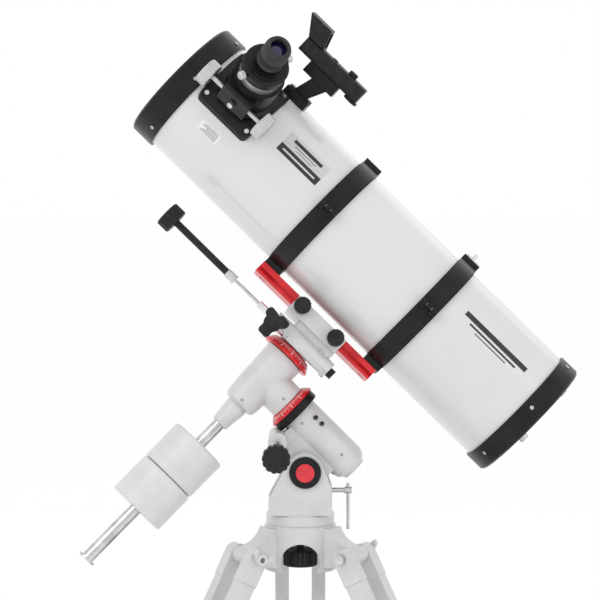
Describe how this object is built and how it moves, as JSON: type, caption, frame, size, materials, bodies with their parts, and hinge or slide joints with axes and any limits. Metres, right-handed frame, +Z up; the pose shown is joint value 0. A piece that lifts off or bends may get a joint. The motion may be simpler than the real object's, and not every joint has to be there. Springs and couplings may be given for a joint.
{
  "type": "reflector telescope on tripod",
  "caption": "Short-focus Newtonian reflector in hinged rings on a German equatorial mount with counterweights and a folding three-leg tripod.",
  "frame": {"origin": "centre of the overall bounding box, on the floor", "axes": "+Z up; the operator stands on the -Y side; the polar axis rises towards -X"},
  "size_m": [0.817, 0.7087, 1.428],
  "materials": {
    "white_enamel": "semi-gloss white enamel",
    "weight_enamel": "white enamel over cast iron",
    "black_metal": "satin black",
    "black_plastic": "moulded black plastic",
    "red_metal": "red anodised aluminium",
    "red_plastic": "red plastic cap",
    "steel": "bright turned steel",
    "silver": "natural anodised aluminium",
    "rubber": "matt rubber",
    "alloy_white": "white powder-coated aluminium",
    "optics": "aluminised glass",
    "black_alloy": "satin black anodised aluminium"
  },
  "bodies": {
    "tripod": {"tripod_head": "alloy_white", "leg_hinge_bolts": "steel", "leg_wing_nuts": "alloy_white"},
    "head_knob": {"head_knob": "black_plastic"},
    "spreader": {"spreader_hub": "alloy_white", "spreader_tray": "black_plastic"},
    "mount_base": {"azimuth_base": "alloy_white", "altitude_bolt": "black_metal", "altitude_caps": "red_plastic"},
    "latitude_screw": {"latitude_screw": "steel"},
    "polar_body": {"polar_housing": "alloy_white", "polar_ring": "black_alloy"},
    "polar_circle": {"polar_circle": "red_metal"},
    "polar_handle": {"polar_handle": "black_plastic"},
    "polar_head": {"dec_housing": "alloy_white", "counterweight_bar": "steel"},
    "weight_inner": {"weight_inner": "weight_enamel"},
    "weight_outer": {"weight_outer": "weight_enamel"},
    "dec_circle": {"dec_circle": "red_metal"},
    "saddle": {"worm_housing": "alloy_white", "saddle_plate": "alloy_white"},
    "dec_handle": {"dec_handle": "black_plastic"},
    "dec_lock": {"dec_lock": "black_plastic"},
    "saddle_knob_front": {"saddle_knob_front": "black_plastic"},
    "saddle_knob_rear": {"saddle_knob_rear": "black_plastic"},
    "cradle": {"dovetail_bar": "red_metal", "ring_lowers": "black_alloy", "ring_pins": "steel"},
    "ring_upper_front": {"ring_upper_front": "black_alloy"},
    "ring_upper_rear": {"ring_upper_rear": "black_alloy", "camera_stud": "steel"},
    "tube": {"tube_shell": "white_enamel", "front_ring": "black_alloy", "rear_cell": "black_alloy", "tube_screws": "steel", "mirrors": "optics", "spider": "black_alloy", "focuser_housing": "black_alloy", "finder_mount": "black_alloy", "finder_body": "black_plastic"},
    "drawtube": {"focus_drawtube": "silver", "focuser_adapter": "black_alloy", "eyepiece": "black_plastic"},
    "focus_knobs": {"focus_knobs": "silver"},
    "finder_wheel": {"finder_wheel": "black_plastic"},
    "leg_1": {"leg_1_frame": "alloy_white"},
    "leg_1_lower": {"leg_1_extension": "silver", "leg_1_foot": "rubber"},
    "leg_1_clamp_knob": {"leg_1_clamp_knob": "black_plastic"},
    "leg_1_brace": {"leg_1_brace": "alloy_white"},
    "leg_2": {"leg_2_frame": "alloy_white"},
    "leg_2_lower": {"leg_2_extension": "silver", "leg_2_foot": "rubber"},
    "leg_2_clamp_knob": {"leg_2_clamp_knob": "black_plastic"},
    "leg_2_brace": {"leg_2_brace": "alloy_white"},
    "leg_3": {"leg_3_frame": "alloy_white"},
    "leg_3_lower": {"leg_3_extension": "silver", "leg_3_foot": "rubber"},
    "leg_3_clamp_knob": {"leg_3_clamp_knob": "black_plastic"},
    "leg_3_brace": {"leg_3_brace": "alloy_white"}
  },
  "joints": [
    {"name": "leg_1_fold", "type": "hinge", "parent": "tripod", "child": "leg_1", "pos_m": [0, -0.02135, 0.675], "axis": [-1, 0, 0], "range_deg": [0, 23]},
    {"name": "leg_1_extend", "type": "slide", "parent": "leg_1", "child": "leg_1_lower", "axis": [0, 0.4695, -0.8829], "range_m": [0, 0.45]},
    {"name": "leg_1_clamp_turn", "type": "hinge", "parent": "leg_1", "child": "leg_1_clamp_knob", "pos_m": [0, 0.28849, 0.12849], "axis": [0, 0.8829, 0.4695], "continuous": true},
    {"name": "leg_1_brace_fold", "type": "hinge", "parent": "leg_1", "child": "leg_1_brace", "pos_m": [0, 0.13762, 0.32915], "axis": [-1, 0, 0], "range_deg": [0, 24]},
    {"name": "leg_2_fold", "type": "hinge", "parent": "tripod", "child": "leg_2", "pos_m": [-0.07482, -0.15095, 0.675], "axis": [0.5, -0.866, 0], "range_deg": [0, 23]},
    {"name": "leg_2_extend", "type": "slide", "parent": "leg_2", "child": "leg_2_lower", "axis": [-0.4066, -0.2347, -0.8829], "range_m": [0, 0.45]},
    {"name": "leg_2_clamp_turn", "type": "hinge", "parent": "leg_2", "child": "leg_2_clamp_knob", "pos_m": [-0.34315, -0.30587, 0.12849], "axis": [-0.7647, -0.4415, 0.4695], "continuous": true},
    {"name": "leg_2_brace_fold", "type": "hinge", "parent": "leg_2", "child": "leg_2_brace", "pos_m": [-0.2125, -0.23044, 0.32915], "axis": [0.5, -0.866, 0], "range_deg": [0, 24]},
    {"name": "leg_3_fold", "type": "hinge", "parent": "tripod", "child": "leg_3", "pos_m": [0.07482, -0.15095, 0.675], "axis": [0.5, 0.866, 0], "range_deg": [0, 23]},
    {"name": "leg_3_extend", "type": "slide", "parent": "leg_3", "child": "leg_3_lower", "axis": [0.4066, -0.2347, -0.8829], "range_m": [0, 0.45]},
    {"name": "leg_3_clamp_turn", "type": "hinge", "parent": "leg_3", "child": "leg_3_clamp_knob", "pos_m": [0.34315, -0.30587, 0.12849], "axis": [0.7647, -0.4415, 0.4695], "continuous": true},
    {"name": "leg_3_brace_fold", "type": "hinge", "parent": "leg_3", "child": "leg_3_brace", "pos_m": [0.2125, -0.23044, 0.32915], "axis": [0.5, 0.866, 0], "range_deg": [0, 24]},
    {"name": "spreader_rise", "type": "slide", "parent": "tripod", "child": "spreader", "axis": [0, 0, 1], "range_m": [0, 0.0851]},
    {"name": "head_knob_turn", "type": "hinge", "parent": "tripod", "child": "head_knob", "pos_m": [0, -0.10775, 0.66], "axis": [0, 0, 1], "continuous": true},
    {"name": "azimuth", "type": "hinge", "parent": "tripod", "child": "mount_base", "pos_m": [0, -0.10775, 0.715], "axis": [0, 0, 1], "range_deg": [-15, 15]},
    {"name": "latitude_screw_turn", "type": "hinge", "parent": "mount_base", "child": "latitude_screw", "pos_m": [0.05, -0.10775, 0.76], "axis": [1, 0, 0], "range_deg": [-90, 90]},
    {"name": "altitude", "type": "hinge", "parent": "mount_base", "child": "polar_body", "pos_m": [0.0067, -0.10775, 0.7907], "axis": [0, 1, 0], "range_deg": [-20, 10]},
    {"name": "polar_circle_turn", "type": "hinge", "parent": "polar_body", "child": "polar_circle", "pos_m": [-0.01604, -0.10775, 0.88124], "axis": [-0.7071, 0, 0.7071], "continuous": true},
    {"name": "polar_slow_motion", "type": "hinge", "parent": "polar_body", "child": "polar_handle", "pos_m": [-0.0316, -0.10775, 0.83316], "axis": [0, 1, 0], "continuous": true},
    {"name": "polar_axis", "type": "hinge", "parent": "polar_body", "child": "polar_head", "pos_m": [-0.0514, -0.10775, 0.9166], "axis": [-0.7071, 0, 0.7071], "range_deg": [-60, 80]},
    {"name": "weight_inner_slide", "type": "slide", "parent": "polar_head", "child": "weight_inner", "axis": [-0.6964, -0.1736, -0.6964], "range_m": [-0.038, 0]},
    {"name": "weight_outer_slide", "type": "slide", "parent": "polar_head", "child": "weight_outer", "axis": [-0.6964, -0.1736, -0.6964], "range_m": [0, 0.092]},
    {"name": "dec_circle_turn", "type": "hinge", "parent": "polar_head", "child": "dec_circle", "pos_m": [-0.01658, -0.09907, 0.95142], "axis": [0.6964, 0.1736, 0.6964], "continuous": true},
    {"name": "dec_axis", "type": "hinge", "parent": "polar_head", "child": "saddle", "pos_m": [-0.00962, -0.09733, 0.95838], "axis": [0.6964, 0.1736, 0.6964], "continuous": true},
    {"name": "dec_slow_motion", "type": "hinge", "parent": "saddle", "child": "dec_handle", "pos_m": [-0.03933, -0.12193, 1.00499], "axis": [-0.7139, 0.0687, 0.6968], "continuous": true},
    {"name": "dec_lock_turn", "type": "hinge", "parent": "saddle", "child": "dec_lock", "pos_m": [-0.01116, -0.11474, 0.96426], "axis": [-0.4648, -0.6301, 0.622], "continuous": true},
    {"name": "saddle_knob_front_turn", "type": "hinge", "parent": "saddle", "child": "saddle_knob_front", "pos_m": [0.00249, -0.12644, 1.01959], "axis": [0.0732, -0.9824, 0.1718], "continuous": true},
    {"name": "saddle_knob_rear_turn", "type": "hinge", "parent": "saddle", "child": "saddle_knob_rear", "pos_m": [0.04819, -0.13084, 0.97499], "axis": [0.0732, -0.9824, 0.1718], "continuous": true},
    {"name": "dovetail_slide", "type": "slide", "parent": "saddle", "child": "cradle", "axis": [-0.7139, 0.0687, 0.6968], "range_m": [-0.04, 0.04]},
    {"name": "ring_front_open", "type": "hinge", "parent": "cradle", "child": "ring_upper_front", "pos_m": [0.03864, -0.16284, 1.15694], "axis": [0.7139, -0.0687, -0.6968], "range_deg": [0, 95]},
    {"name": "ring_rear_open", "type": "hinge", "parent": "cradle", "child": "ring_upper_rear", "pos_m": [0.17629, -0.17608, 1.02259], "axis": [0.7139, -0.0687, -0.6968], "range_deg": [0, 95]},
    {"name": "tube_roll", "type": "hinge", "parent": "cradle", "child": "tube", "pos_m": [0.10215, -0.06946, 1.07015], "axis": [-0.7139, 0.0687, 0.6968], "range_deg": [-40, 60]},
    {"name": "focus_travel", "type": "slide", "parent": "tube", "child": "drawtube", "axis": [0.3287, -0.8458, 0.4202], "range_m": [-0.012, 0.035]},
    {"name": "focus_knob_turn", "type": "hinge", "parent": "tube", "child": "focus_knobs", "pos_m": [-0.0874, -0.17477, 1.30394], "axis": [-0.7139, 0.0687, 0.6968], "range_deg": [-120, 340]},
    {"name": "finder_wheel_turn", "type": "hinge", "parent": "tube", "child": "finder_wheel", "pos_m": [0.06935, -0.0769, 1.3042], "axis": [0.6849, -0.1384, 0.7154], "range_deg": [0, 270]}
  ],
  "couplings": [
    {"joint": "leg_1_brace_fold", "follows": "leg_1_fold", "ratio": 1.0158},
    {"joint": "leg_2_brace_fold", "follows": "leg_1_fold", "ratio": 1.0158},
    {"joint": "leg_2_fold", "follows": "leg_1_fold", "ratio": 1},
    {"joint": "leg_3_brace_fold", "follows": "leg_1_fold", "ratio": 1.0158},
    {"joint": "leg_3_fold", "follows": "leg_1_fold", "ratio": 1},
    {"joint": "spreader_rise", "follows": "leg_1_fold", "m_per_rad": 0.20708},
    {"joint": "focus_knob_turn", "follows": "focus_travel", "rad_per_m": 166.67}
  ]
}
